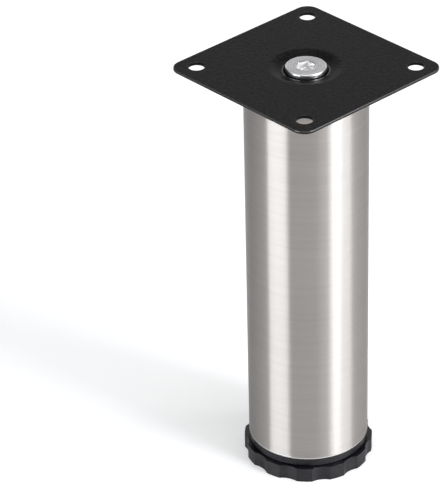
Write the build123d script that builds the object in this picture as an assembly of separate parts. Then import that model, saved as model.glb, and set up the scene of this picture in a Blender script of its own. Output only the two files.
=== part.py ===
from build123d import *
import math
import os

# Adjustable furniture leg, in millimetres.
# The origin is the centre of the foot's underside, +Z is up the leg, and the plate's sides lie along X and Y.

# Mounting plate
plate_side = 68.0
plate_corner_radius = 5.0
plate_thickness = 1.2
plate_edge_break = 0.2
plate_hole_diameter = 5.6
plate_hole_inset = 7.2

# Shallow dish pressed into the plate's middle, which sinks the screw's head
dish_depth = 1.4
dish_seat_radius = 8.0
dish_rim_radius = 13.8

# Tube
tube_diameter = 44.0
tube_wall = 1.0
tube_length = 150.0

# Thread of the centre screw and of the foot's stud, both M10
thread_diameter = 10.0
thread_pitch = 1.5
thread_clearance = 0.05
bore_clearance = 0.3

# Centre screw
screw_head_diameter = 14.7
screw_head_height = 1.7
screw_head_chamfer = 0.35
screw_length = 16.0
socket_across_flats = 6.0
socket_depth = 2.6
socket_drill_diameter = 5.4
socket_drill_angle = 118.0
socket_mouth_chamfer = 0.35
socket_turn = 6.0

# Nuts
nut_across_flats = 17.0
nut_height = 8.0
nut_face_diameter = 17.4
nut_chamfer_angle = 30.0
nut_pocket_clearance = 0.1
nut_lip = 1.0

# Moulded plugs in the tube's two ends
plug_depth = 15.0
plug_clearance = 0.25
plug_wall = 1.9
plug_lead_in = 0.8
plug_rib_count = 6
plug_rib_thickness = 1.5
plug_rib_drop = 2.0
hub_wall = 2.2
crush_rib_count = 8
crush_rib_width = 1.2
crush_rib_gap = 0.05
top_web = 3.0
bottom_web = 3.0
collar_height = 2.9
collar_step = 0.1
collar_edge_break = 0.15

# Foot wheel
foot_height = 5.7
foot_gap = 0.2
foot_overhang = 1.7
lobe_count = 12
lobe_crown_angle = 13.8
lobe_depth = 1.0
lobe_turn = 12.2
foot_edge_chamfer = 0.2
foot_skin = 2.0
foot_rim_wall = 2.3
foot_rib_count = 12
foot_rib_thickness = 1.3
foot_rib_drop = 0.8
foot_boss_wall = 3.0
foot_boss_height = 3.0
foot_boss_chamfer = 0.6
foot_boss_clearance = 0.5

# Stud of the foot
stud_head_across_flats = 16.0
stud_head_height = 3.4
stud_head_depth = 0.9
stud_head_clearance = 0.05
stud_head_wall = 2.0
foot_travel = 10.5
stud_tail = 2.2

# Snap ring on the stud
ring_thickness = 1.0
ring_width = 2.2
ring_groove_depth = 0.4
ring_side_clearance = 0.1
ring_bore_clearance = 0.05
ring_opening_angle = 70.0
ring_stop_gap = 0.1

# Radii and heights worked out from the sizes above
tube_radius = tube_diameter / 2
tube_bore_radius = tube_radius - tube_wall
thread_radius = thread_diameter / 2
nut_bore_radius = thread_radius + thread_clearance
clear_bore_radius = thread_radius + bore_clearance

collar_bottom = foot_height + foot_gap
tube_bottom = collar_bottom + collar_height
tube_top = tube_bottom + tube_length
plate_top = tube_top + plate_thickness
screw_seat = plate_top - dish_depth

foot_boss_top = foot_height + foot_boss_height
boss_recess_top = foot_boss_top + foot_boss_clearance
foot_nut_seat = boss_recess_top + bottom_web
foot_nut_top = foot_nut_seat + nut_height
top_plug_top = tube_top - dish_depth
top_nut_seat = top_plug_top - top_web
top_nut_bottom = top_nut_seat - nut_height

ring_bottom = foot_nut_top + foot_travel + ring_stop_gap
ring_groove_bottom = ring_bottom - ring_side_clearance
ring_groove_top = ring_bottom + ring_thickness + ring_side_clearance
stud_top = ring_groove_top + stud_tail
stud_head_top = stud_head_depth + stud_head_height

nut_pocket_flats = nut_across_flats + 2 * nut_pocket_clearance
hub_flats = nut_pocket_flats + 2 * hub_wall
stud_pocket_flats = stud_head_across_flats + 2 * stud_head_clearance
foot_hub_flats = stud_pocket_flats + 2 * stud_head_wall
foot_boss_radius = thread_radius + foot_boss_wall
boss_recess_radius = foot_boss_radius + foot_boss_clearance

plug_radius = tube_bore_radius - plug_clearance
plug_inner_radius = plug_radius - plug_wall
collar_radius = tube_radius - collar_step
crown_radius = tube_radius + foot_overhang
valley_radius = crown_radius - lobe_depth
foot_rim_inner_radius = valley_radius - foot_rim_wall

# A cut runs this far past the face that it opens, so that no skin is left
through = 1.0


def bar(radius, bottom, top):
    """Round bar on the Z axis between two heights."""
    return Pos(0, 0, bottom) * Cylinder(radius, top - bottom, align=(Align.CENTER, Align.CENTER, Align.MIN))


def sleeve(outer_radius, inner_radius, bottom, top):
    """Round tube on the Z axis between two heights."""
    return bar(outer_radius, bottom, top) - bar(inner_radius, bottom - through, top + through)


def hexagon(across_flats, bottom, top, turn=0.0):
    """Hexagonal bar on the Z axis between two heights."""
    outline = RegularPolygon(across_flats / 2, 6, major_radius=False, rotation=turn)
    return Pos(0, 0, bottom) * extrude(outline, top - bottom)


def cone_between(bottom_radius, top_radius, bottom, top):
    """Cone on the Z axis whose radius changes evenly between two heights."""
    align = (Align.CENTER, Align.CENTER, Align.MIN)
    return Pos(0, 0, bottom) * Cone(bottom_radius, top_radius, top - bottom, align=align)


def outer_edges(part, height, radius):
    """Round edges of a part at one height and one radius."""
    rings = part.edges().filter_by(GeomType.CIRCLE)
    return [e for e in rings if abs(e.center().Z - height) < 1e-4 and abs(e.radius - radius) < 1e-4]


def spokes(outer_radius, thickness, bottom, top, count):
    """Radial ribs that run from the axis out to a round wall, the first along X."""
    reach = outer_radius + through
    rib = Box(reach, thickness, top - bottom, align=(Align.MIN, Align.CENTER, Align.MIN))
    ribs = [Rot(0, 0, 360.0 * k / count) * Pos(0, 0, bottom) * rib for k in range(count)]
    return (Part() + ribs) & bar(outer_radius, bottom, top)


def pressed_dish():
    """Round dish of the plate's own thickness: a sloping side, a flat seat and a clear hole for the screw."""
    seat_under = tube_top - dish_depth
    section = make_face(Polyline(
        (dish_rim_radius, plate_top),
        (dish_seat_radius, screw_seat),
        (clear_bore_radius, screw_seat),
        (clear_bore_radius, seat_under),
        (dish_seat_radius, seat_under),
        (dish_rim_radius, tube_top),
        close=True,
    ))
    return revolve(Plane.XZ * section, Axis.Z)


def mounting_plate():
    """Square steel plate with rounded corners, four fixing holes and a dish for the screw."""
    outline = RectangleRounded(plate_side, plate_side, plate_corner_radius)
    plate = Pos(0, 0, tube_top) * extrude(outline, plate_thickness)
    rims = plate.faces().sort_by(Axis.Z)
    plate = chamfer(rims[0].edges() + rims[-1].edges(), plate_edge_break)
    reach = plate_side / 2 - plate_hole_inset
    drill = bar(plate_hole_diameter / 2, tube_top - through, plate_top + through)
    plate -= [Pos(x, y, 0) * drill for x in (-reach, reach) for y in (-reach, reach)]
    return plate - bar(dish_rim_radius, tube_top - through, plate_top + through) + pressed_dish()


def leg_tube():
    """Round tube, cut square at both ends."""
    return sleeve(tube_radius, tube_bore_radius, tube_bottom, tube_top)


def hex_nut(bottom):
    """Hexagon nut with the corners of both ends turned down to a cone."""
    top = bottom + nut_height
    middle = bottom + nut_height / 2
    waist = nut_face_diameter / 2 + nut_height / 2 / math.tan(math.radians(nut_chamfer_angle))
    turned = cone_between(nut_face_diameter / 2, waist, bottom, middle)
    turned += cone_between(waist, nut_face_diameter / 2, middle, top)
    nut = hexagon(nut_across_flats, bottom, top) & turned
    return nut - bar(nut_bore_radius, bottom - through, top + through)


def centre_screw():
    """Low flat-headed screw with a hexagon socket, its head seated in the plate's dish."""
    head_top = screw_seat + screw_head_height
    tip = screw_seat - screw_length
    head = bar(screw_head_diameter / 2, screw_seat, head_top)
    head = chamfer(outer_edges(head, head_top, screw_head_diameter / 2), screw_head_chamfer)
    shank = bar(thread_radius, tip, screw_seat)
    shank = chamfer(outer_edges(shank, tip, thread_radius), thread_pitch / 2)
    socket_bottom = head_top - socket_depth
    socket = hexagon(socket_across_flats, socket_bottom, head_top + through, socket_turn)
    half_flats = socket_across_flats / 2
    mouth = half_flats / math.cos(math.pi / 6) + socket_mouth_chamfer / 2
    socket += cone_between(mouth - socket_mouth_chamfer, mouth, head_top - socket_mouth_chamfer, head_top)
    drill_radius = socket_drill_diameter / 2
    point = drill_radius / math.tan(math.radians(socket_drill_angle / 2))
    socket += cone_between(0, drill_radius, socket_bottom - point, socket_bottom)
    return head + shank - socket


def crush_ribs(bottom, top):
    """Thin upright ribs round a plug, which grip the tube's bore."""
    tip_radius = tube_bore_radius - crush_rib_gap
    rib = Box(tip_radius, crush_rib_width, top - bottom, align=(Align.MIN, Align.CENTER, Align.MIN))
    turns = [360.0 * (k + 0.5) / crush_rib_count for k in range(crush_rib_count)]
    ribs = [Rot(0, 0, turn) * Pos(0, 0, bottom) * rib for turn in turns]
    return (Part() + ribs) & sleeve(tip_radius, plug_radius - plug_wall / 2, bottom, top)


def top_plug():
    """Moulded plug under the plate's dish, open below and closed above by a thick web."""
    bottom = top_plug_top - plug_depth
    hub_bottom = top_nut_bottom - nut_lip
    skirt = sleeve(plug_radius, plug_inner_radius, bottom, top_plug_top)
    skirt = chamfer(outer_edges(skirt, bottom, plug_radius), plug_lead_in)
    web = bar(plug_radius, top_nut_seat, top_plug_top)
    hub = hexagon(hub_flats, hub_bottom, top_plug_top)
    ribs_bottom = hub_bottom + plug_rib_drop
    ribs = spokes(plug_inner_radius, plug_rib_thickness, ribs_bottom, top_nut_seat, plug_rib_count)
    plug = skirt + web + hub + ribs + crush_ribs(bottom + plug_lead_in * 2, top_plug_top - plug_lead_in)
    plug -= hexagon(nut_pocket_flats, hub_bottom - through, top_nut_seat)
    return plug - bar(clear_bore_radius, top_nut_seat - through, top_plug_top + through)


def bottom_plug():
    """Moulded plug whose collar closes the tube's lower end and stands over the foot."""
    top = tube_bottom + plug_depth
    hub_top = foot_nut_top + nut_lip
    collar = bar(collar_radius, collar_bottom, tube_bottom)
    collar = chamfer(outer_edges(collar, collar_bottom, collar_radius), collar_edge_break)
    skirt = sleeve(plug_radius, plug_inner_radius, tube_bottom, top)
    skirt = chamfer(outer_edges(skirt, top, plug_radius), plug_lead_in)
    hub = hexagon(hub_flats, tube_bottom, hub_top)
    ribs_top = hub_top - plug_rib_drop
    ribs = spokes(plug_inner_radius, plug_rib_thickness, tube_bottom, ribs_top, plug_rib_count)
    plug = collar + skirt + hub + ribs + crush_ribs(tube_bottom + plug_lead_in, top - plug_lead_in * 2)
    plug -= hexagon(nut_pocket_flats, foot_nut_seat, hub_top + through)
    plug -= bar(boss_recess_radius, collar_bottom - through, boss_recess_top)
    return plug - bar(clear_bore_radius, boss_recess_top - through, foot_nut_seat + through)


def polar(radius, degrees):
    """Point in the XY plane at a radius and an angle from X."""
    return (radius * math.cos(math.radians(degrees)), radius * math.sin(math.radians(degrees)))


def lobed_outline():
    """Face bounded by even lobes: a short round crown, then a hollow valley, all the way round."""
    step = 360.0 / lobe_count
    half = lobe_crown_angle / 2
    arcs = []
    for k in range(lobe_count):
        middle = lobe_turn + k * step
        start = polar(crown_radius, middle - half)
        end = polar(crown_radius, middle + half)
        following = polar(crown_radius, middle + step - half)
        arcs.append(ThreePointArc(start, polar(crown_radius, middle), end))
        arcs.append(ThreePointArc(end, polar(valley_radius, middle + step / 2), following))
    return make_face(arcs)


def foot_wheel():
    """Lobed foot, hollow and ribbed underneath, with a hexagon pocket for the stud's head."""
    wheel = extrude(lobed_outline(), foot_height)
    wheel = chamfer(wheel.faces().sort_by(Axis.Z)[-1].edges(), foot_edge_chamfer)
    skin_bottom = foot_height - foot_skin
    wheel -= bar(foot_rim_inner_radius, -through, skin_bottom)
    wheel += hexagon(foot_hub_flats, 0, foot_height)
    wheel += spokes(foot_rim_inner_radius, foot_rib_thickness, foot_rib_drop, skin_bottom, foot_rib_count)
    boss = bar(foot_boss_radius, foot_height - foot_skin / 2, foot_boss_top)
    wheel += chamfer(outer_edges(boss, foot_boss_top, foot_boss_radius), foot_boss_chamfer)
    wheel -= hexagon(stud_pocket_flats, -through, stud_head_top)
    return wheel - bar(nut_bore_radius, stud_head_top - through, foot_boss_top + through)


def foot_stud():
    """Stud with a thin hexagon head below and a groove for the snap ring near its top."""
    head = hexagon(stud_head_across_flats, stud_head_depth, stud_head_top)
    shank = bar(thread_radius, stud_head_top, stud_top)
    shank = chamfer(outer_edges(shank, stud_top, thread_radius), thread_pitch / 2)
    groove_radius = thread_radius - ring_groove_depth
    return head + shank - sleeve(thread_radius + through, groove_radius, ring_groove_bottom, ring_groove_top)


def stop_ring():
    """Open snap ring in the stud's groove."""
    inner = thread_radius - ring_groove_depth + ring_bore_clearance
    outer = inner + ring_width
    middle = (inner + outer) / 2
    half = math.radians(ring_opening_angle / 2)
    reach = outer + through
    spread = reach * math.tan(half)
    mouth = make_face(Polyline((0, 0), (reach, -spread), (reach, spread), close=True))
    ring = sleeve(outer, inner, ring_bottom, ring_bottom + ring_thickness)
    ring -= Pos(0, 0, ring_bottom - through) * extrude(mouth, ring_thickness + 2 * through)
    end = bar(ring_width / 2, ring_bottom, ring_bottom + ring_thickness)
    ends = [Rot(0, 0, side * ring_opening_angle / 2) * Pos(middle, 0, 0) * end for side in (-1, 1)]
    return ring + ends


pieces = {
    "mounting_plate": mounting_plate(),
    "centre_screw": centre_screw(),
    "leg_tube": leg_tube(),
    "top_plug": top_plug(),
    "top_nut": hex_nut(top_nut_bottom),
    "bottom_plug": bottom_plug(),
    "foot_nut": hex_nut(foot_nut_seat),
    "foot_stud": foot_stud(),
    "stop_ring": stop_ring(),
    "foot_wheel": foot_wheel(),
}

os.makedirs("parts", exist_ok=True)
for name, piece in pieces.items():
    export_step(piece, f"parts/{name}.step")
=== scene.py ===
import math

import bmesh
import bpy
from mathutils import Matrix, Vector


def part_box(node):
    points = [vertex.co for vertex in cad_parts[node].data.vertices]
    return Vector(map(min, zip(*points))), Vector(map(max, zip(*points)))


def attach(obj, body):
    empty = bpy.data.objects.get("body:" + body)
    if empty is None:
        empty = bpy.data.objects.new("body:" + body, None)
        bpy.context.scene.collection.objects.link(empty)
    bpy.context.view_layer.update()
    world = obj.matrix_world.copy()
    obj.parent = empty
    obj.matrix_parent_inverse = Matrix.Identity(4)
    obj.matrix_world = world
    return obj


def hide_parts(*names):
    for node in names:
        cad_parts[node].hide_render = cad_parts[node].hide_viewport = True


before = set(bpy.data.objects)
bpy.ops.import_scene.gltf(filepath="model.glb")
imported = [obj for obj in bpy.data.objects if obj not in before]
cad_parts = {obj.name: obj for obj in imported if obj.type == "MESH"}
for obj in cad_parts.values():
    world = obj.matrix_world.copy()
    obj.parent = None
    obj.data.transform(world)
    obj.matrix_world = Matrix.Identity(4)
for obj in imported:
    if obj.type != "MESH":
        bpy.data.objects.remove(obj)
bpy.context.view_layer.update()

MM = 0.001

# Places read from the frame, in metres
PLATE_LOW, PLATE_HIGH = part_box("mounting_plate")
TUBE_LOW, TUBE_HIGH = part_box("leg_tube")
SCREW_LOW, SCREW_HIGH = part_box("centre_screw")
WHEEL_LOW, WHEEL_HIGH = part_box("foot_wheel")
STUD_LOW, STUD_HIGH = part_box("foot_stud")
RING_LOW, RING_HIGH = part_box("stop_ring")

# Mounting plate
PLATE_CORNER_RADIUS = 5.0 * MM
PLATE_CORNER_STEPS = 14
PLATE_RIM_ROUND = 0.35 * MM
PLATE_HOLE_RADIUS = 2.8 * MM
PLATE_HOLE_INSET = 7.2 * MM
PLATE_THICKNESS = 1.2 * MM

# Dish pressed into the plate's middle
DISH_DEPTH = 1.4 * MM
DISH_SEAT_RADIUS = 8.0 * MM
DISH_RIM_RADIUS = 13.8 * MM
DISH_BLEND = 0.3 * MM
DISH_STEPS = 14
DISH_SIDES = 144
DISH_HOLE_RADIUS = 5.3 * MM

# Tube
TUBE_WALL = 1.0 * MM
TUBE_EDGE_ROUND = 0.25 * MM

# Threads, both M10
THREAD_RADIUS = 5.0 * MM
THREAD_PITCH = 1.5 * MM
THREAD_DEPTH = 0.61 * THREAD_PITCH
THREAD_STEPS = 60

# Where the thread's crest starts and ends and its upper flank ends, as shares of the pitch
CREST_START, CREST_END, FLANK_END = 0.3125, 0.4375, 0.75

# Whole turns of thread made past each end of a rod, to be cut off
SPARE_TURNS = 2

# Centre screw
SCREW_HEAD_HEIGHT = 1.7 * MM
SCREW_HEAD_CHAMFER = 0.35 * MM
SCREW_EDGE_ROUND = 0.23 * MM
SOCKET_ACROSS_FLATS = 6.0 * MM
SOCKET_DEPTH = 2.6 * MM
SOCKET_DRILL_RADIUS = 2.7 * MM
SOCKET_DRILL_ANGLE = math.radians(118.0)
SOCKET_DRILL_TIP = 0.01 * MM
SOCKET_MOUTH = 0.35 * MM
SOCKET_TURN = math.radians(6.0)

# Foot wheel
WHEEL_HEIGHT = 5.7 * MM
LOBE_COUNT = 12
LOBE_CROWN_ANGLE = math.radians(13.8)
LOBE_DEPTH = 1.0 * MM
LOBE_TURN = math.radians(12.2)
LOBE_EDGE_ROUND = 0.28 * MM
WHEEL_CROWN_RADIUS = 23.7 * MM
WHEEL_SKIN = 2.0 * MM
WHEEL_RIM_WALL = 2.3 * MM
WHEEL_HUB_FLATS = 20.1 * MM
WHEEL_POCKET_FLATS = 16.1 * MM
WHEEL_RIB_COUNT = 12
WHEEL_RIB_THICKNESS = 1.3 * MM
WHEEL_RIB_DROP = 0.8 * MM
WHEEL_BOSS_RADIUS = 8.0 * MM
WHEEL_BOSS_CHAMFER = 0.6 * MM
WHEEL_BORE_RADIUS = 5.05 * MM
WHEEL_INNER_ROUND = 0.12 * MM

# Stud of the foot
STUD_HEAD_FLATS = 16.0 * MM
STUD_HEAD_HEIGHT = 3.4 * MM
STUD_GROOVE_DEPTH = 0.4 * MM
STUD_GROOVE_CLEARANCE = 0.1 * MM

# A cutting tool runs this far past the face that it opens
PAST = 1.0 * MM

# Points closer than this are one point
MERGE_DISTANCE = 0.002 * MM

# Camera, solved from the plate's corners and holes and the tube's sides in the photograph
CAMERA_PLACE = Vector((0.65505, -0.63551, 0.64775))
CAMERA_AZIMUTH = math.radians(47.8271)
CAMERA_PITCH = math.radians(31.4912)
CAMERA_ROLL = math.radians(-1.3847)
CAMERA_LENS = 220.735
CAMERA_SENSOR = 36.0
CAMERA_NEAR, CAMERA_FAR = 0.05, 50.0

# Where the camera stands round the leg, seen from the leg's axis
VIEW_AZIMUTH = math.atan2(CAMERA_PLACE.x, -CAMERA_PLACE.y)

# Lamp colours
COOL, WARM = (0.965, 0.982, 1.0), (1.0, 0.955, 0.925)
BLUISH, PINKISH = (0.927, 0.967, 1.0), (1.0, 0.968, 0.985)

# Upright softboxes: name, degrees to the right of the camera, distance, lowest and highest
# point, width, radiance and colour
UPRIGHT_SOFTBOXES = (
    ("left_softbox", -52.0, 2.0, 0.02, 0.72, 1.34, 11.2, BLUISH),
    ("right_softbox", 60.5, 2.0, 0.02, 0.85, 1.6, 6.6, BLUISH),
    ("right_tail", 30.0, 2.0, 0.02, 1.2, 0.62, 1.1, COOL),
    ("right_key", 57.0, 1.1, 0.7, 1.02, 0.32, 32.0, COOL),
    ("right_spill", 72.0, 1.4, 0.02, 0.9, 2.6, 0.58, WARM),
    ("right_rim_strip", 92.0, 1.2, 0.6, 2.0, 0.3, 3.2, COOL),
    ("left_rim_strip", -89.0, 1.2, 0.6, 2.0, 0.3, 1.4, COOL),
    ("front_panel", 2.0, 1.9, 0.02, 0.6, 1.9, 1.12, WARM),
    ("back_panel", 180.0, 1.6, 0.45, 1.7, 2.2, 0.43, PINKISH),
    ("back_strip", 180.0, 1.6, 0.02, 0.44, 3.0, 0.9, COOL),
)
TOP_SOFTBOX_HEIGHT = 1.6
TOP_SOFTBOX_SIDE = 0.6
TOP_SOFTBOX_RADIANCE = 3.0

# Dark flag behind the leg, to the left
FLAG_ANGLE, FLAG_DISTANCE, FLAG_HEIGHT, FLAG_SIDE = -126.0, 1.5, 0.6, 1.0

# Floor: its size, and how bright it looks to the camera at the leg and far off, and in mirrors
FLOOR_RADIUS = 8.0
FLOOR_NEAR, FLOOR_FAR = 0.6, 1.5
FLOOR_GLOW_NEAR, FLOOR_GLOW_FAR, FLOOR_GLOW_MIRRORED = 0.355, 1.0, 0.092

# Brightness of the room as a lamp and as the camera's background
ROOM_LIGHT, ROOM_BACKGROUND = 0.25, 1.0


def deselect():
    """Leaves object mode with nothing selected."""
    if bpy.context.object and bpy.context.object.mode != "OBJECT":
        bpy.ops.object.mode_set(mode="OBJECT")
    bpy.ops.object.select_all(action="DESELECT")


def activate(piece):
    """Makes a piece the only one that the next operators act on."""
    deselect()
    piece.select_set(True)
    bpy.context.view_layer.objects.active = piece


def settle(piece, name):
    """Names a piece and moves its place into its mesh."""
    activate(piece)
    bpy.ops.object.transform_apply(location=True, rotation=True, scale=True)
    piece.name = name
    piece.data.name = name
    return piece


def rod(radius, bottom, top, sides=96, turn=0.0, centre=(0.0, 0.0)):
    """Upright bar with a round or many-sided section between two heights."""
    deselect()
    bpy.ops.mesh.primitive_cylinder_add(
        vertices=sides, radius=radius, depth=top - bottom,
        location=(centre[0], centre[1], (bottom + top) / 2), rotation=(0, 0, turn))
    return settle(bpy.context.object, "rod")


def hexagon(across_flats, bottom, top, turn=0.0):
    """Upright hexagonal bar with a corner on the X axis before it is turned."""
    return rod(across_flats / math.sqrt(3), bottom, top, sides=6, turn=turn + math.pi / 2)


def block(low, high):
    """Box between two corners."""
    deselect()
    bpy.ops.mesh.primitive_cube_add(size=1, location=(Vector(low) + Vector(high)) / 2)
    bpy.context.object.scale = Vector(high) - Vector(low)
    return settle(bpy.context.object, "block")


def join(pieces):
    """One object from several."""
    activate(pieces[0])
    for piece in pieces:
        piece.select_set(True)
    bpy.ops.object.join()
    return bpy.context.object


def copies_round(piece, count, first=0.0):
    """A piece and its copies, evenly spaced round the Z axis and joined."""
    copies = []
    for k in range(count):
        copy = piece.copy()
        copy.data = piece.data.copy()
        copy.data.transform(Matrix.Rotation(first + 2 * math.pi * k / count, 4, "Z"))
        bpy.context.scene.collection.objects.link(copy)
        copies.append(copy)
    bpy.data.objects.remove(piece)
    return join(copies)


def apply_modifier(piece, kind, **settings):
    """Adds a modifier to a piece and applies it."""
    activate(piece)
    modifier = piece.modifiers.new(kind.title(), kind)
    for name, value in settings.items():
        setattr(modifier, name, value)
    bpy.ops.object.modifier_apply(modifier=modifier.name)
    return piece


def combine(piece, tool, operation):
    """Cuts a tool out of a piece, or adds it, or keeps what both hold."""
    apply_modifier(piece, "BOOLEAN", object=tool, operation=operation, solver="EXACT")
    bpy.data.objects.remove(tool)
    return piece


def round_edges(piece, width, steps, least_angle):
    """Rounds every edge of a piece that turns by more than an angle."""
    return apply_modifier(
        piece, "BEVEL", width=width, segments=steps, limit_method="ANGLE",
        angle_limit=math.radians(least_angle), use_clamp_overlap=True, miter_outer="MITER_ARC")


def smooth(piece, angle=35.0):
    """Merges doubles, turns the faces outwards and shades the curved ones smooth."""
    activate(piece)
    bpy.ops.object.mode_set(mode="EDIT")
    bpy.ops.mesh.select_all(action="SELECT")
    bpy.ops.mesh.remove_doubles(threshold=MERGE_DISTANCE)
    bpy.ops.mesh.normals_make_consistent(inside=False)
    bpy.ops.object.mode_set(mode="OBJECT")
    bpy.ops.object.shade_smooth_by_angle(angle=math.radians(angle))
    return apply_modifier(piece, "WEIGHTED_NORMAL", keep_sharp=True, weight=50)


def turned(name, outline, steps, caps=True):
    """Piece turned about Z: a ring at the outline's first point, extruded from point to point."""
    radius, height = outline[0]
    deselect()
    bpy.ops.mesh.primitive_circle_add(
        vertices=steps, radius=radius, location=(0, 0, height), fill_type="NGON" if caps else "NOTHING")
    piece = settle(bpy.context.object, name)
    bpy.ops.object.mode_set(mode="EDIT")
    bpy.ops.mesh.select_all(action="SELECT")
    for next_radius, next_height in outline[1:]:
        lift = {"value": (0, 0, next_height - height)}
        if caps:
            bpy.ops.mesh.extrude_region_move(TRANSFORM_OT_translate=lift)
        else:
            bpy.ops.mesh.extrude_edges_move(TRANSFORM_OT_translate=lift)
        ratio = next_radius / radius
        bpy.ops.transform.resize(value=(ratio, ratio, 1), center_override=(0, 0, 0))
        radius, height = next_radius, next_height
    bpy.ops.object.mode_set(mode="OBJECT")
    return piece


def quarter(centre_radius, centre_height, size, first, steps=4):
    """Points of a quarter circle on an outline, from an angle in degrees."""
    angles = [math.radians(first + 90.0 * k / steps) for k in range(steps + 1)]
    return [(centre_radius + size * math.cos(a), centre_height + size * math.sin(a)) for a in angles]


def helix_rod(name, bottom, top):
    """Rod with a 60 degree helical thread, cut flat at both ends."""
    root = THREAD_RADIUS - THREAD_DEPTH
    profile = [
        (root, 0.0), (THREAD_RADIUS, CREST_START), (THREAD_RADIUS, CREST_END), (root, FLANK_END), (root, 1.0)]
    deselect()
    bpy.ops.mesh.primitive_plane_add(size=THREAD_PITCH, location=(0, 0, 0))
    piece = settle(bpy.context.object, name)
    bpy.ops.object.mode_set(mode="EDIT")
    bpy.ops.mesh.select_all(action="SELECT")
    bpy.ops.mesh.delete(type="ONLY_FACE")
    mesh = bmesh.from_edit_mesh(piece.data)
    kept = min(mesh.edges, key=lambda e: sum(v.co.x for v in e.verts))
    spare = [v for v in mesh.verts if v not in kept.verts]
    bmesh.ops.delete(mesh, geom=spare, context="VERTS")
    bpy.ops.mesh.select_all(action="SELECT")
    bpy.ops.mesh.subdivide(number_cuts=len(profile) - 2)
    mesh = bmesh.from_edit_mesh(piece.data)
    along = sorted(mesh.verts, key=lambda v: v.co.y)
    start = bottom - SPARE_TURNS * THREAD_PITCH
    for vertex, (radius, rise) in zip(along, profile):
        vertex.co = (radius, 0.0, start + rise * THREAD_PITCH)
    bmesh.update_edit_mesh(piece.data)
    bpy.ops.object.mode_set(mode="OBJECT")
    turns = math.ceil((top - bottom) / THREAD_PITCH) + 2 * SPARE_TURNS
    apply_modifier(
        piece, "SCREW", screw_offset=THREAD_PITCH, iterations=turns, steps=THREAD_STEPS,
        render_steps=THREAD_STEPS, use_merge_vertices=True, merge_threshold=MERGE_DISTANCE)
    bpy.ops.object.mode_set(mode="EDIT")
    bpy.ops.mesh.select_all(action="SELECT")
    bpy.ops.mesh.quads_convert_to_tris()
    bpy.ops.object.mode_set(mode="OBJECT")
    for height, upward in ((bottom, False), (top, True)):
        bpy.ops.object.mode_set(mode="EDIT")
        bpy.ops.mesh.select_all(action="SELECT")
        bpy.ops.mesh.bisect(
            plane_co=(0, 0, height), plane_no=(0, 0, 1), use_fill=True,
            clear_outer=upward, clear_inner=not upward)
        bpy.ops.object.mode_set(mode="OBJECT")
    return smooth(piece)


def select_where(piece, kind, wanted):
    """Goes into edit mode with only the edges or faces selected whose corner points pass a test."""
    activate(piece)
    bpy.ops.object.mode_set(mode="EDIT")
    bpy.ops.mesh.select_mode(type=kind)
    bpy.ops.mesh.select_all(action="DESELECT")
    mesh = bmesh.from_edit_mesh(piece.data)
    for part in mesh.edges if kind == "EDGE" else mesh.faces:
        part.select_set(wanted([v.co for v in part.verts]))
    mesh.select_flush_mode()
    bmesh.update_edit_mesh(piece.data)


def pressed_dish():
    """Skin of the dish: flat rim, eased slope, flat seat, the screw's hole and the same again underneath."""
    top, bottom = PLATE_HIGH.z, PLATE_HIGH.z - PLATE_THICKNESS
    outer, inner = DISH_RIM_RADIUS - DISH_BLEND, DISH_SEAT_RADIUS + DISH_BLEND
    slope = [(DISH_RIM_RADIUS, 0.0)]
    for k in range(DISH_STEPS + 1):
        part = k / DISH_STEPS
        slope.append((outer + (inner - outer) * part, DISH_DEPTH * (1 - math.cos(math.pi * part)) / 2))
    slope += [(DISH_SEAT_RADIUS, DISH_DEPTH), (DISH_HOLE_RADIUS, DISH_DEPTH)]
    outline = [(r, top - drop) for r, drop in slope] + [(r, bottom - drop) for r, drop in reversed(slope)]
    return turned("dish", outline, DISH_SIDES, caps=False)


def mounting_plate():
    """Pressed square plate with rounded corners, four fixing holes and a dish for the centre screw."""
    bottom, top = PLATE_HIGH.z - PLATE_THICKNESS, PLATE_HIGH.z
    plate = block((PLATE_LOW.x, PLATE_LOW.y, bottom), PLATE_HIGH)
    select_where(plate, "EDGE", lambda ends: abs(ends[0].z - ends[1].z) > MM / 2)
    bpy.ops.mesh.bevel(offset=PLATE_CORNER_RADIUS, segments=PLATE_CORNER_STEPS, affect="EDGES")
    bpy.ops.object.mode_set(mode="OBJECT")
    reach = PLATE_HIGH.x - PLATE_HOLE_INSET
    holes = [rod(PLATE_HOLE_RADIUS, bottom - PAST, top + PAST, sides=64, centre=(x, y))
             for x in (-reach, reach) for y in (-reach, reach)]
    combine(plate, join(holes), "DIFFERENCE")
    round_edges(plate, PLATE_RIM_ROUND, steps=3, least_angle=40)
    combine(plate, rod(DISH_RIM_RADIUS, bottom - PAST, top + PAST, sides=DISH_SIDES), "DIFFERENCE")
    select_where(plate, "FACE", lambda corners: all(p.xy.length < DISH_RIM_RADIUS + MM / 10 for p in corners))
    bpy.ops.mesh.delete(type="FACE")
    # The opening's rim points go onto the dish's own, so that the two close
    step = 2 * math.pi / DISH_SIDES
    mesh = bmesh.from_edit_mesh(plate.data)
    for point in (v for v in mesh.verts if v.is_boundary):
        corner = round(math.atan2(point.co.y, point.co.x) / step) * step
        point.co.xy = DISH_RIM_RADIUS * math.cos(corner), DISH_RIM_RADIUS * math.sin(corner)
    bmesh.update_edit_mesh(plate.data)
    bpy.ops.object.mode_set(mode="OBJECT")
    return smooth(settle(join([plate, pressed_dish()]), "fixing_plate"), angle=30)


def leg_tube():
    """Round tube with its four rims lightly rounded."""
    size = TUBE_EDGE_ROUND
    outer = TUBE_HIGH.x
    inner = outer - TUBE_WALL
    bottom, top = TUBE_LOW.z, TUBE_HIGH.z
    outline = quarter(outer - size, bottom + size, size, -90)
    outline += quarter(outer - size, top - size, size, 0)
    outline += quarter(inner + size, top - size, size, 90)
    outline += quarter(inner + size, bottom + size, size, 180)
    tube = turned("brushed_tube", outline + outline[:1], steps=256, caps=False)
    return smooth(tube, angle=40)


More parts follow.
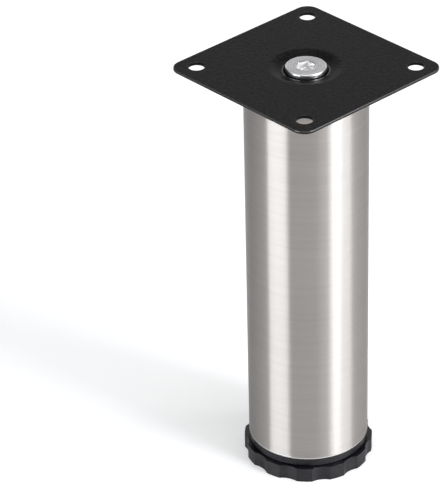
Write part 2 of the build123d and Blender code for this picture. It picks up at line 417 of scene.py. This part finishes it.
def centre_screw():
    """Low flat-headed screw: turned head, threaded shank and a broached hexagon socket."""
    top = SCREW_HIGH.z
    seat = top - SCREW_HEAD_HEIGHT
    radius = SCREW_HIGH.x
    rim = radius - SCREW_HEAD_CHAMFER
    shoulder = top - SCREW_HEAD_CHAMFER
    head = turned("head", [(radius, seat), (radius, shoulder), (rim, top)], steps=160)
    round_edges(head, SCREW_EDGE_ROUND, steps=5, least_angle=30)
    wide = THREAD_RADIUS + PAST
    blank = turned("blank", [
        (THREAD_RADIUS - THREAD_PITCH / 2, SCREW_LOW.z), (wide, SCREW_LOW.z + THREAD_PITCH / 2 + PAST),
        (wide, seat + SCREW_HEAD_HEIGHT / 2)], steps=96)
    shank = combine(helix_rod("shank", SCREW_LOW.z - PAST, seat + PAST), blank, "INTERSECT")
    combine(head, shank, "UNION")
    half_corners = SOCKET_ACROSS_FLATS / math.sqrt(3)
    mouth = half_corners + SOCKET_MOUTH / 2
    socket = hexagon(SOCKET_ACROSS_FLATS, top - SOCKET_DEPTH, top + PAST, SOCKET_TURN)
    countersink = turned("countersink", [
        (mouth - SOCKET_MOUTH, top - SOCKET_MOUTH), (mouth, top), (mouth + PAST, top + PAST)], steps=96)
    floor = top - SOCKET_DEPTH
    point = SOCKET_DRILL_RADIUS / math.tan(SOCKET_DRILL_ANGLE / 2)
    drill = turned("drill", [
        (SOCKET_DRILL_TIP, floor - point), (SOCKET_DRILL_RADIUS, floor),
        (SOCKET_DRILL_RADIUS, floor + SOCKET_DEPTH / 2)], steps=96)
    for tool in (socket, countersink, drill):
        combine(head, tool, "DIFFERENCE")
    return smooth(settle(head, "plate_screw"), angle=30)


def lobed_blank():
    """Disc whose rim is scooped into even lobes, with every edge rounded."""
    crown = WHEEL_CROWN_RADIUS
    valley = crown - LOBE_DEPTH
    half_gap = (2 * math.pi / LOBE_COUNT - LOBE_CROWN_ANGLE) / 2
    half_chord = crown * math.sin(half_gap)
    sag = crown * math.cos(half_gap) - valley
    scoop_radius = half_chord ** 2 / (2 * sag) + sag / 2
    disc = rod(crown, WHEEL_LOW.z, WHEEL_LOW.z + WHEEL_HEIGHT, sides=360)
    scoop = rod(scoop_radius, WHEEL_LOW.z - PAST, WHEEL_LOW.z + WHEEL_HEIGHT + PAST, sides=96,
                centre=(valley + scoop_radius, 0.0))
    scoops = copies_round(scoop, LOBE_COUNT, LOBE_TURN + math.pi / LOBE_COUNT)
    combine(disc, scoops, "DIFFERENCE")
    return round_edges(disc, LOBE_EDGE_ROUND, steps=3, least_angle=25)


def foot_wheel():
    """Moulded foot: lobed rim, hollow ribbed underside, hexagon pocket and a boss on top."""
    floor = WHEEL_LOW.z
    skin_bottom = floor + WHEEL_HEIGHT - WHEEL_SKIN
    rim_inside = WHEEL_CROWN_RADIUS - LOBE_DEPTH - WHEEL_RIM_WALL
    wheel = lobed_blank()
    combine(wheel, rod(rim_inside, floor - PAST, skin_bottom, sides=180), "DIFFERENCE")
    hub = hexagon(WHEEL_HUB_FLATS, floor, skin_bottom + WHEEL_SKIN / 2)
    combine(wheel, hub, "UNION")
    half = WHEEL_RIB_THICKNESS / 2
    rib = block((WHEEL_POCKET_FLATS / 2 + half, -half, floor + WHEEL_RIB_DROP),
                (rim_inside + WHEEL_RIM_WALL / 3, half, skin_bottom + WHEEL_SKIN / 3))
    combine(wheel, copies_round(rib, WHEEL_RIB_COUNT), "UNION")
    boss = turned("boss", [
        (WHEEL_BOSS_RADIUS, skin_bottom + WHEEL_SKIN / 2),
        (WHEEL_BOSS_RADIUS, WHEEL_HIGH.z - WHEEL_BOSS_CHAMFER),
        (WHEEL_BOSS_RADIUS - WHEEL_BOSS_CHAMFER, WHEEL_HIGH.z)], steps=120)
    combine(wheel, boss, "UNION")
    pocket = hexagon(WHEEL_POCKET_FLATS, floor - PAST, STUD_LOW.z + STUD_HEAD_HEIGHT)
    combine(wheel, pocket, "DIFFERENCE")
    combine(wheel, rod(WHEEL_BORE_RADIUS, floor, WHEEL_HIGH.z + PAST, sides=96), "DIFFERENCE")
    round_edges(wheel, WHEEL_INNER_ROUND, steps=2, least_angle=42)
    return smooth(settle(wheel, "levelling_foot"), angle=32)


def foot_stud():
    """Threaded stud with a thin hexagon head and a groove for the stop ring."""
    head_top = STUD_LOW.z + STUD_HEAD_HEIGHT
    wide = THREAD_RADIUS + PAST
    groove = THREAD_RADIUS - STUD_GROOVE_DEPTH
    groove_bottom = RING_LOW.z - STUD_GROOVE_CLEARANCE
    groove_top = RING_HIGH.z + STUD_GROOVE_CLEARANCE
    chamfer_bottom = STUD_HIGH.z - THREAD_PITCH / 2
    blank = turned("blank", [
        (wide, head_top - THREAD_PITCH / 3), (wide, groove_bottom), (groove, groove_bottom),
        (groove, groove_top), (wide, groove_top), (wide, chamfer_bottom - PAST),
        (THREAD_RADIUS - THREAD_PITCH / 2, STUD_HIGH.z)], steps=96)
    thread = combine(helix_rod("thread", STUD_LOW.z, STUD_HIGH.z + PAST), blank, "INTERSECT")
    head = hexagon(STUD_HEAD_FLATS, STUD_LOW.z, head_top)
    round_edges(head, WHEEL_INNER_ROUND, steps=2, least_angle=40)
    combine(head, thread, "UNION")
    return smooth(settle(head, "threaded_stud"), angle=30)


class Value:
    """A number that varies over a surface. Arithmetic on it adds Math nodes."""

    def __init__(self, surface, socket):
        self.surface = surface
        self.socket = socket

    def math(self, operation, first, second):
        return self.surface.node("Math", {"operation": operation}, {0: first, 1: second})

    def __add__(self, other):
        return self.math("ADD", self, other)

    def __radd__(self, other):
        return self.math("ADD", other, self)

    def __sub__(self, other):
        return self.math("SUBTRACT", self, other)

    def __rsub__(self, other):
        return self.math("SUBTRACT", other, self)

    def __mul__(self, other):
        return self.math("MULTIPLY", self, other)

    def __rmul__(self, other):
        return self.math("MULTIPLY", other, self)


class Surface:
    """A material made of nodes around one Principled shader."""

    def __init__(self, name, **uniform):
        self.material = bpy.data.materials.new(name)
        self.material.use_nodes = True
        self.tree = self.material.node_tree
        self.shader = self.tree.nodes["Principled BSDF"]
        for socket, number in uniform.items():
            self.shader.inputs[socket.replace("_", " ")].default_value = number
        self.place = self.node("TexCoord", {}, {}, "Object")

    def node(self, kind, settings, inputs, output=0):
        """Adds a node with its settings first, then the values or links of its sockets."""
        made = self.tree.nodes.new("ShaderNode" + kind)
        for name, value in settings.items():
            setattr(made, name, value)
        for name, value in inputs.items():
            self.feed(made.inputs[name], value)
        return Value(self, made.outputs[output])

    def feed(self, socket, value):
        """Links a value to a socket, or sets it there."""
        if isinstance(value, Value):
            self.tree.links.new(value.socket, socket)
        else:
            socket.default_value = value

    def vector(self, operation, first, second=(0.0, 0.0, 0.0)):
        """Vector made from one or two vectors."""
        return self.node("VectorMath", {"operation": operation}, {0: first, 1: second})

    def length(self, vector):
        """Length of a vector."""
        return self.node("VectorMath", {"operation": "LENGTH"}, {0: vector}, "Value")

    def noise(self, stretch, detail=2.0, rough=0.5):
        """Noise from 0 to 1 whose features repeat so many times a metre along each axis."""
        scaled = self.vector("MULTIPLY", self.place, stretch)
        return self.node("TexNoise", {}, {
            "Vector": scaled, "Scale": 1.0, "Detail": detail, "Roughness": rough}, "Fac")

    def remap(self, value, low, high, to_low, to_high):
        """Stretches one range of a value to another and stops at its ends."""
        return self.node("MapRange", {"clamp": True}, {
            "Value": value, "From Min": low, "From Max": high, "To Min": to_low, "To Max": to_high}, "Result")

    def blend(self, amount, first, second):
        """Colour between two colours."""
        return self.node("Mix", {"data_type": "RGBA"}, {0: amount, 6: first, 7: second}, 2)

    def most(self, first, second):
        """Larger of two values."""
        return first.math("MAXIMUM", first, second)

    def radius(self):
        """Distance from the leg's axis."""
        return self.length(self.vector("MULTIPLY", self.place, (1.0, 1.0, 0.0)))

    def height(self):
        """Height up the leg."""
        return self.node("SeparateXYZ", {}, {0: self.place}, "Z")

    def from_corner(self, inset):
        """Level vector from the point at an inset from the plate's sides, the same at all four corners."""
        reach = PLATE_HIGH.x - inset
        folded = self.vector("ABSOLUTE", self.vector("MULTIPLY", self.place, (1.0, 1.0, 0.0)))
        return self.vector("SUBTRACT", folded, (reach, reach, 0.0))

    def finish(self, colour, roughness, relief, depth):
        """Feeds the shader a colour, a roughness and a relief of a depth, and returns the material."""
        self.feed(self.shader.inputs["Base Color"], colour)
        self.feed(self.shader.inputs["Roughness"], roughness)
        bump = self.node("Bump", {}, {"Height": relief, "Distance": depth, "Strength": 1.0}, "Normal")
        self.feed(self.shader.inputs["Normal"], bump)
        return self.material


def brushed_stainless():
    """Stainless steel brushed round the girth in long fine level lines, with a painted highlight along its
    lower edge.
    """
    steel = Surface("brushed_stainless_finish", Metallic=1.0, Anisotropic=1.0, Anisotropic_Rotation=0.25)
    fine = steel.noise((35, 35, 3600), detail=3.0, rough=0.6)
    broad = steel.noise((14, 14, 620), detail=2.0)
    cloud = steel.noise((9, 9, 22), detail=1.0)
    lines = fine * 0.6 + broad * 0.4
    shade = steel.remap(lines + (cloud - 0.5) * 0.25, 0.3, 0.7, 0.0, 1.0)
    colour = steel.blend(shade, (0.432, 0.407, 0.389, 1), (0.476, 0.449, 0.430, 1))
    roughness = steel.remap(fine * 0.7 + broad * 0.3, 0.3, 0.7, 0.41, 0.355)
    # Painted highlight: a band up the lowest rim is coloured lighter, so it reads as a bright line along the
    # tube's lower edge; the band is also made smoother.
    painted_highlight_top = TUBE_LOW.z + 3 * TUBE_EDGE_ROUND
    edge = steel.remap(steel.height(), painted_highlight_top - TUBE_EDGE_ROUND, painted_highlight_top, 1.0, 0.0)
    colour = steel.blend(edge, colour, (0.68, 0.67, 0.65, 1))
    return steel.finish(colour, roughness - edge * 0.12, fine, 0.006 * MM)


def black_powder_coat():
    """Baked powder coat: satin black over a fine pebbled skin, smoother where it was pressed in the dish;
    shade is painted near black on the holes' walls and on the dish's seat.
    """
    coat = Surface("black_powder_coat_finish", Specular_IOR_Level=0.095, Coat_Roughness=0.09, Coat_IOR=1.65)
    pebble = coat.noise((800, 800, 800), detail=4.0, rough=0.65)
    speck = coat.noise((3200, 3200, 3200), detail=1.0)
    cloud = coat.noise((60, 60, 60), detail=2.0)
    shade = coat.remap(pebble * 0.6 + speck * 0.3 + cloud * 0.1, 0.4, 0.6, 0.0, 1.0)
    colour = coat.blend(shade, (0.0006, 0.0005, 0.0005, 1), (0.012, 0.0106, 0.0111, 1))

    # The dish: smoother towards its middle, dull on its seat, where shade under the screw head is painted
    # near black, and glossy where its slope begins
    from_axis = coat.radius()
    pressed = coat.remap(from_axis, DISH_SEAT_RADIUS + 0.5 * MM, DISH_RIM_RADIUS, 1.0, 0.0)
    roughness = coat.remap(speck + cloud * 0.3, 0.4, 0.9, 0.38, 0.5) - pressed * 0.12
    seat = coat.remap(from_axis, DISH_SEAT_RADIUS + 0.2 * MM, DISH_SEAT_RADIUS + 0.7 * MM, 1.0, 0.0)
    glossy_from = coat.remap(from_axis, DISH_SEAT_RADIUS - 0.05 * MM, DISH_SEAT_RADIUS + 0.05 * MM, 0.0, 1.0)
    glossy_to = coat.remap(from_axis, DISH_SEAT_RADIUS + 0.35 * MM, DISH_SEAT_RADIUS + 0.6 * MM, 0.0, 1.0)

    # The rounded outer edge, which fades down the plate's side
    beyond = coat.vector("MAXIMUM", coat.from_corner(PLATE_CORNER_RADIUS), (0.0, 0.0, 0.0))
    bead = coat.remap(coat.length(beyond), PLATE_CORNER_RADIUS - PLATE_RIM_ROUND,
                      PLATE_CORNER_RADIUS - 0.7 * PLATE_RIM_ROUND, 0.0, 1.0)
    bead = bead * coat.remap(
        coat.height(), PLATE_HIGH.z - 0.55 * MM, PLATE_HIGH.z - PLATE_RIM_ROUND, 0.15, 1.0)

    # The rounded edges of the four holes, and their walls, where shade is painted dark
    off_hole = coat.length(coat.from_corner(PLATE_HOLE_INSET))
    edge = coat.remap(off_hole, PLATE_HOLE_RADIUS + 0.6 * PLATE_RIM_ROUND,
                      PLATE_HOLE_RADIUS + PLATE_RIM_ROUND, 1.0, 0.0)
    painted_shade_wall = coat.remap(off_hole, PLATE_HOLE_RADIUS + 0.1 * MM, PLATE_HOLE_RADIUS + 0.2 * MM, 1.0, 0.0)

    # Painted shade: the holes' walls and the dish's seat under the screw head are coloured near black.
    colour = coat.blend(coat.most(painted_shade_wall, seat), colour, (0.001, 0.001, 0.001, 1))
    glossy = coat.most(coat.most(bead, edge - painted_shade_wall), glossy_from - glossy_to)
    coat.feed(coat.shader.inputs["Coat Weight"], glossy)
    return coat.finish(colour, roughness + seat * 0.6, pebble * 0.7 + speck * 0.3, 0.18 * MM)


def bright_zinc():
    """Bright zinc plate on turned steel: faint rings round the axis, a socket coloured near white as bare
    broached metal and as a painted highlight, and a painted highlight on the chamfer ring round the top.
    """
    zinc = Surface("bright_zinc_finish", Metallic=1.0, Anisotropic=0.75, Anisotropic_Rotation=0.25)
    radius, height = zinc.radius(), zinc.height()
    rings = zinc.node("TexNoise", {"noise_dimensions": "1D"}, {
        "W": radius * 2000.0 + height * 3000.0, "Scale": 1.0, "Detail": 2.0, "Roughness": 0.6}, "Fac")
    cloud = zinc.noise((700, 700, 700), detail=2.0)
    socket_radius = 3.5 * MM
    inside = zinc.remap(radius, socket_radius, socket_radius + 0.1 * MM, 1.0, 0.0)
    sunk = zinc.remap(height, SCREW_HIGH.z - SOCKET_MOUTH, SCREW_HIGH.z - SOCKET_MOUTH / 2, 1.0, 0.0)
    socket = inside * sunk
    shade = zinc.remap(rings * 0.8 + cloud * 0.2, 0.38, 0.62, 0.0, 1.0)
    colour = zinc.blend(shade, (0.50, 0.50, 0.51, 1), (0.80, 0.80, 0.81, 1))
    # The socket's inside is coloured near white, partly as its bare broached metal and partly as a painted
    # highlight.
    colour = zinc.blend(socket, colour, (0.97, 0.97, 0.97, 1))
    head = SCREW_HIGH.x
    side = zinc.remap(radius, head - SCREW_EDGE_ROUND, head - SCREW_EDGE_ROUND / 2, 0.0, 1.0)
    flat = head - SCREW_HEAD_CHAMFER
    bead = zinc.remap(radius, flat - 0.35 * MM, flat - 0.2 * MM, 0.0, 1.0) - side
    # Painted highlight: the chamfer ring round the top is coloured near white, so it reads as a bright rim
    # line; the ring is also made rougher.
    colour = zinc.blend(bead, colour, (0.98, 0.98, 0.98, 1))
    roughness = zinc.remap(rings * 0.6 + cloud * 0.4, 0.35, 0.65, 0.30, 0.38)
    roughness = roughness + socket * 0.05 - side * 0.06 + bead * 0.12
    return zinc.finish(colour, roughness, rings * (1.0 - side), 0.008 * MM)


def plain_zinc():
    """Plain zinc plate on machined steel, slightly clouded."""
    zinc = Surface("plain_zinc_finish", Metallic=1.0)
    cloud = zinc.noise((420, 420, 420), detail=3.0)
    grain = zinc.noise((3000, 3000, 3000), detail=1.0)
    colour = zinc.blend(cloud, (0.52, 0.52, 0.51, 1), (0.66, 0.66, 0.65, 1))
    roughness = zinc.remap(cloud + grain * 0.3, 0.4, 0.9, 0.28, 0.44)
    return zinc.finish(colour, roughness, grain, 0.01 * MM)


def spring_steel():
    """Oil-blackened spring steel."""
    steel = Surface("spring_steel_finish", Metallic=1.0)
    cloud = steel.noise((600, 600, 600), detail=3.0)
    colour = steel.blend(cloud, (0.14, 0.14, 0.15, 1), (0.22, 0.22, 0.23, 1))
    roughness = steel.remap(cloud, 0.3, 0.7, 0.35, 0.5)
    return steel.finish(colour, roughness, cloud, 0.01 * MM)


def black_moulding():
    """Black moulded plastic with a fine matt grain and faint flow marks."""
    plastic = Surface(
        "black_moulding_finish", Specular_IOR_Level=0.36, Anisotropic=0.8, Anisotropic_Rotation=0.25)
    grain = plastic.noise((1700, 1700, 1700), detail=3.0)
    flow = plastic.noise((90, 90, 260), detail=3.0)
    shade = plastic.remap(flow * 0.45 + grain * 0.55, 0.36, 0.64, 0.0, 1.0)
    colour = plastic.blend(shade, (0.001, 0.0008, 0.0015, 1), (0.014, 0.0122, 0.0168, 1))
    roughness = plastic.remap(flow + (grain - 0.5) * 0.4, 0.3, 0.7, 0.26, 0.42)
    height, top = plastic.height(), WHEEL_LOW.z + WHEEL_HEIGHT
    above = plastic.remap(height, top - 0.1 * MM, top, 0.0, 1.0)
    below = plastic.remap(height, top + 0.4 * MM, top + 0.5 * MM, 1.0, 0.0)
    return plastic.finish(colour, roughness - above * below * 0.2, grain, 0.05 * MM)


def dress(piece, slot, body=None, stands_for=None):
    """Gives a piece the material of its slot, and a new piece its body, and hides the CAD part that it stands
    for.
    """
    if not piece.material_slots:
        piece.data.materials.append(None)
    for place in piece.material_slots:
        place.material = finishes[slot]
    if body:
        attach(piece, body)
        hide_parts(stands_for)


def round_the_leg(angle, distance, height):
    """Point round the leg at an angle in degrees to the right of the camera's direction."""
    azimuth = VIEW_AZIMUTH + math.radians(angle)
    return Vector((distance * math.sin(azimuth), -distance * math.cos(azimuth), height))


def softbox(name, place, aim, width, height, radiance, tint):
    """Rectangular lamp at a place, turned to face a point."""
    lamp = bpy.data.lights.new(name, "AREA")
    lamp.shape = "RECTANGLE"
    lamp.size = width
    lamp.size_y = height
    lamp.energy = radiance * math.pi * width * height
    lamp.color = tint
    box = bpy.data.objects.new(name, lamp)
    box.location = place
    box.rotation_euler = (aim - place).to_track_quat("-Z", "Y").to_euler()
    box.visible_camera = False
    bpy.context.scene.collection.objects.link(box)


def upright_softbox(name, angle, distance, low, high, width, radiance, tint):
    """Upright softbox round the leg, between two heights."""
    place = round_the_leg(angle, distance, (low + high) / 2)
    softbox(name, place, Vector((0, 0, place.z)), width, high - low, radiance, tint)


def studio():
    """Pale floor that the foot stands on, softboxes round the leg and an even grey room."""
    for box in UPRIGHT_SOFTBOXES:
        upright_softbox(*box)
    softbox("top_softbox", Vector((0, 0, TOP_SOFTBOX_HEIGHT)), Vector((0, 0, PLATE_HIGH.z)),
            TOP_SOFTBOX_SIDE, TOP_SOFTBOX_SIDE, TOP_SOFTBOX_RADIANCE, COOL)

    flag_place = round_the_leg(FLAG_ANGLE, FLAG_DISTANCE, FLAG_HEIGHT)
    bpy.ops.mesh.primitive_plane_add(
        size=FLAG_SIDE, location=flag_place, rotation=(-flag_place).to_track_quat("Z", "Y").to_euler())
    flag = settle(bpy.context.object, "studio_flag")
    felt = Surface("studio_felt", Base_Color=(0.01, 0.01, 0.01, 1), Roughness=1.0)
    flag.data.materials.append(felt.material)
    flag.visible_camera = False
    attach(flag, "stop")

    bpy.ops.mesh.primitive_circle_add(vertices=96, radius=FLOOR_RADIUS, fill_type="NGON", location=(0, 0, 0))
    floor = settle(bpy.context.object, "studio_floor")
    paper = Surface(
        "studio_paper", Base_Color=(0.8, 0.8, 0.8, 1), Roughness=1.0, Specular_IOR_Level=0.0,
        Emission_Strength=1.0)
    ray = paper.tree.nodes.new("ShaderNodeLightPath")
    mirrored = Value(paper, ray.outputs["Is Glossy Ray"]) + Value(paper, ray.outputs["Is Transmission Ray"])
    lift = paper.remap(paper.radius(), FLOOR_NEAR, FLOOR_FAR, FLOOR_GLOW_NEAR, FLOOR_GLOW_FAR)
    glow = Value(paper, ray.outputs["Is Camera Ray"]) * lift + mirrored * FLOOR_GLOW_MIRRORED
    paper.feed(paper.shader.inputs["Emission Color"], glow)
    floor.data.materials.append(paper.material)
    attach(floor, "stop")

    world = bpy.data.worlds.new("studio_room")
    world.use_nodes = True
    bpy.context.scene.world = world
    nodes, links = world.node_tree.nodes, world.node_tree.links
    room = nodes["Background"]
    room.inputs["Color"].default_value = (1, 1, 1, 1)
    path = nodes.new("ShaderNodeLightPath")
    lift = nodes.new("ShaderNodeMapRange")
    lift.inputs["To Min"].default_value = ROOM_LIGHT
    lift.inputs["To Max"].default_value = ROOM_BACKGROUND
    links.new(path.outputs["Is Camera Ray"], lift.inputs["Value"])
    links.new(lift.outputs["Result"], room.inputs["Strength"])


def camera():
    """Camera at the photograph's place, turned by its azimuth, pitch and roll."""
    lens = bpy.data.cameras.new("camera")
    lens.sensor_width = CAMERA_SENSOR
    lens.lens = CAMERA_LENS
    lens.clip_start = CAMERA_NEAR
    lens.clip_end = CAMERA_FAR
    eye = bpy.data.objects.new("camera", lens)
    back = Vector((math.sin(CAMERA_AZIMUTH) * math.cos(CAMERA_PITCH),
                   -math.cos(CAMERA_AZIMUTH) * math.cos(CAMERA_PITCH), math.sin(CAMERA_PITCH)))
    level = Vector((math.cos(CAMERA_AZIMUTH), math.sin(CAMERA_AZIMUTH), 0.0))
    up = back.cross(level)
    right = level * math.cos(CAMERA_ROLL) + up * math.sin(CAMERA_ROLL)
    upright = up * math.cos(CAMERA_ROLL) - level * math.sin(CAMERA_ROLL)
    turn = Matrix((right, upright, back)).transposed()
    eye.matrix_world = Matrix.Translation(CAMERA_PLACE) @ turn.to_4x4()
    bpy.context.scene.collection.objects.link(eye)
    bpy.context.scene.camera = eye


finishes = {
    "black_powder_coat": black_powder_coat(),
    "bright_zinc": bright_zinc(),
    "brushed_stainless": brushed_stainless(),
    "black_moulding": black_moulding(),
    "plain_zinc": plain_zinc(),
    "spring_steel": spring_steel(),
}
dress(mounting_plate(), "black_powder_coat", "leg", "mounting_plate")
dress(centre_screw(), "bright_zinc", "leg", "centre_screw")
dress(leg_tube(), "brushed_stainless", "leg", "leg_tube")
dress(foot_wheel(), "black_moulding", "foot", "foot_wheel")
dress(foot_stud(), "plain_zinc", "foot", "foot_stud")
for node, slot in (("top_plug", "black_moulding"), ("bottom_plug", "black_moulding"),
                   ("top_nut", "plain_zinc"), ("foot_nut", "plain_zinc"), ("stop_ring", "spring_steel")):
    dress(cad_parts[node], slot)

studio()
camera()
bpy.context.scene.view_settings.view_transform = "Standard"
